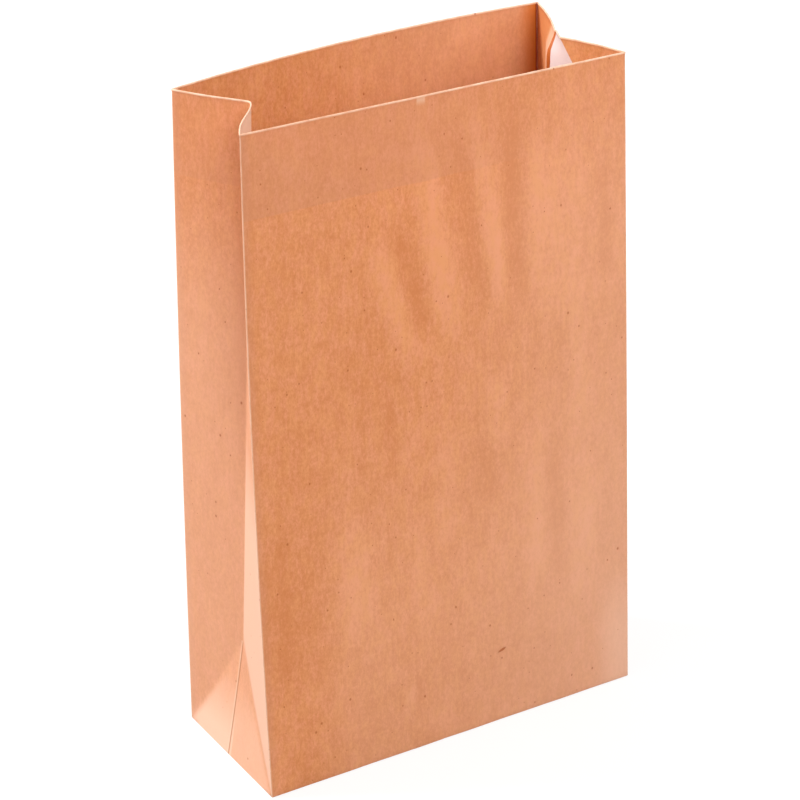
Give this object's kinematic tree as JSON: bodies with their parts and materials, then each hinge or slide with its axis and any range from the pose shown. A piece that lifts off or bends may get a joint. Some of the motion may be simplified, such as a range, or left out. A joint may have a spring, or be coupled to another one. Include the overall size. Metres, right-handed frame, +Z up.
{
  "type": "kraft paper bag",
  "caption": "Open, empty block-bottom kraft paper bag with gusseted sides, a straight hemmed mouth and a flat folded base.",
  "frame": {"origin": "middle of the folded bottom, on the underside that it stands on", "axes": "+Z up through the mouth, +X along the wide panels, the wide panel with the glued lap facing -Y, a gusset at -X and at +X"},
  "size_m": [0.2562, 0.1183, 0.4],
  "materials": {
    "kraft_paper": "unbleached natural brown kraft, soft matt"
  },
  "bodies": {
    "root": {"paper_bag": "kraft_paper"}
  },
  "joints": []
}
